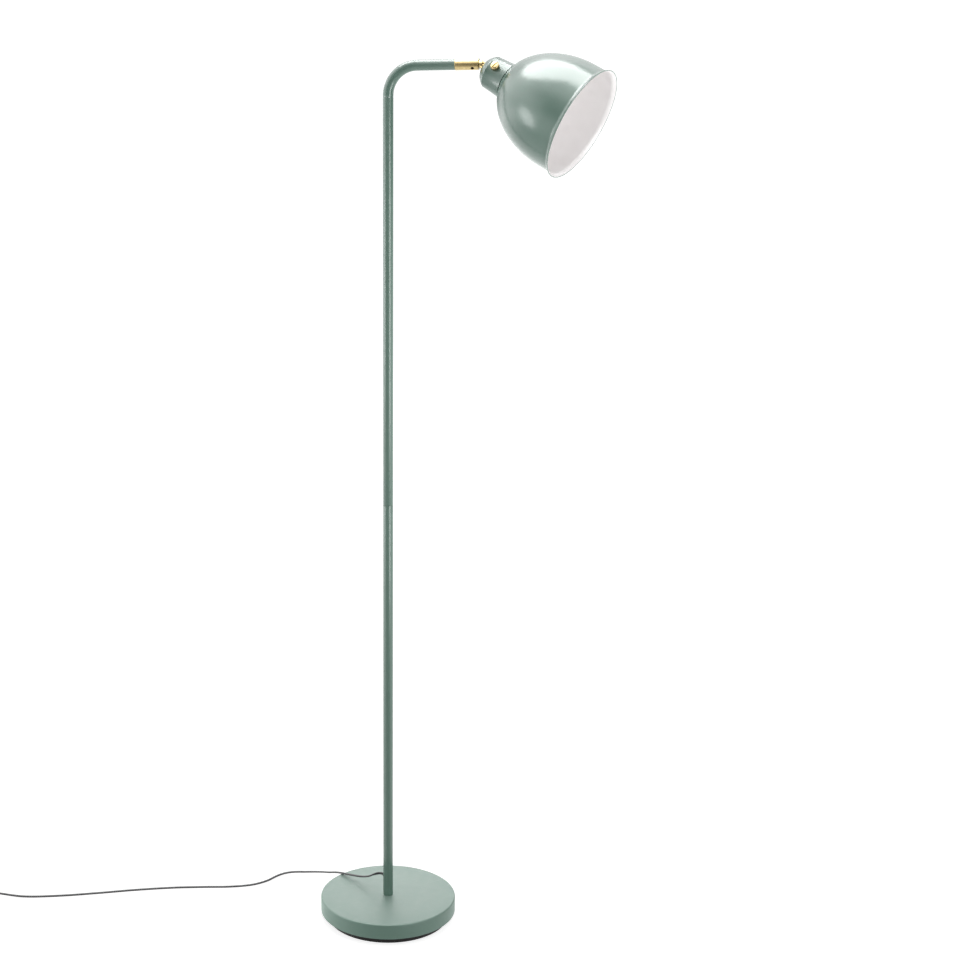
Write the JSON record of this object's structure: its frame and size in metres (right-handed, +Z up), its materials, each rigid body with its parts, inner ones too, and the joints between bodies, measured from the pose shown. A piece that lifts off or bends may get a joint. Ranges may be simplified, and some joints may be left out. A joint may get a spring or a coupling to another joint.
{
  "type": "adjustable arm floor lamp",
  "caption": "Floor lamp with a round weighted base, a slim pole bent over into a short arm, and a bell-shaped metal shade that swivels round the arm and tilts on a clamped hinge.",
  "frame": {"origin": "centre of the round base's underside, on the floor", "axes": "+Z up along the pole; +X the way the arm points; +Y away from the side that the head leans to"},
  "size_m": [1.2871, 0.2663, 1.5394],
  "materials": {
    "sage_enamel": "glossy grey-green powder enamel",
    "white_enamel": "satin white reflector enamel, on the shade's inside",
    "brass": "polished and lacquered",
    "cast_iron": "as cast, primed",
    "zinc_steel": "zinc plated",
    "nickel": "nickel plated",
    "white_plastic": "moulded, satin",
    "black_plastic": "moulded, fine spark-eroded grain",
    "black_rubber": "matt",
    "cord_jacket": "extruded flexible jacket, satin",
    "brown_wire": "extruded insulation",
    "blue_wire": "extruded insulation"
  },
  "bodies": {
    "root": {"arm_connector": "zinc_steel", "arm_sleeve": "brass", "arm_tube": "sage_enamel", "base_cover": "sage_enamel", "base_nipple": "zinc_steel", "base_nut": "zinc_steel", "base_pad": "black_rubber", "base_washer": "zinc_steel", "base_weight": "cast_iron", "contact_cell": "white_plastic", "cord_coil": "cord_jacket", "cord_grommet": "black_rubber", "cord_run_1": "cord_jacket", "cord_run_2": "cord_jacket", "cord_run_3": "cord_jacket", "cord_tie": "black_rubber", "inner_cable": "cord_jacket", "plug_body": "black_plastic", "plug_pin_1": "nickel", "plug_pin_2": "nickel", "plug_relief": "black_rubber", "pole_lower": "sage_enamel", "pole_nipple": "zinc_steel", "pole_upper": "sage_enamel", "sleeve_grub_screw": "zinc_steel", "switch_base": "black_plastic", "switch_cover": "black_plastic", "switch_relief_1": "black_rubber", "switch_relief_2": "black_rubber", "switch_screw_1": "zinc_steel", "switch_screw_2": "zinc_steel", "thread_insert_1": "zinc_steel", "thread_insert_2": "zinc_steel", "thread_insert_3": "zinc_steel"},
    "swivel": {"swivel_stud": "brass"},
    "head": {"shade": "sage_enamel", "neck_cap": "sage_enamel", "hinge_bracket": "zinc_steel", "friction_washer_1": "black_rubber", "friction_washer_2": "black_rubber", "hinge_nut": "zinc_steel", "screw_spacer": "zinc_steel", "holder_skirt": "white_plastic", "holder_nipple": "zinc_steel", "holder_nut": "zinc_steel", "contact_block": "white_plastic", "centre_contact": "nickel", "screw_shell": "nickel", "shade_ring": "white_plastic", "lead_wire_1": "brown_wire", "lead_wire_2": "blue_wire"},
    "clamp_screw": {"thumb_screw": "brass"},
    "button": {"switch_button": "black_plastic"}
  },
  "joints": [
    {"name": "head_swivel", "type": "hinge", "parent": "root", "child": "swivel", "pos_m": [0.1545, 0, 1.527], "axis": [1, 0, 0], "range_deg": [-135, 185]},
    {"name": "head_tilt", "type": "hinge", "parent": "swivel", "child": "head", "pos_m": [0.1882, -0.00947, 1.5067], "axis": [0, 0.9063, -0.4226], "range_deg": [-31.5, 43.5]},
    {"name": "clamp_screw_turn", "type": "hinge", "parent": "head", "child": "clamp_screw", "pos_m": [0.1882, -0.00947, 1.5067], "axis": [0, -0.9063, 0.4226], "range_deg": [-180, 180]},
    {"name": "button_press", "type": "slide", "parent": "root", "child": "button", "axis": [0, 0, -1], "range_m": [0, 0.0025], "stiffness_N_per_m": 600, "springref_m": -0.002}
  ]
}
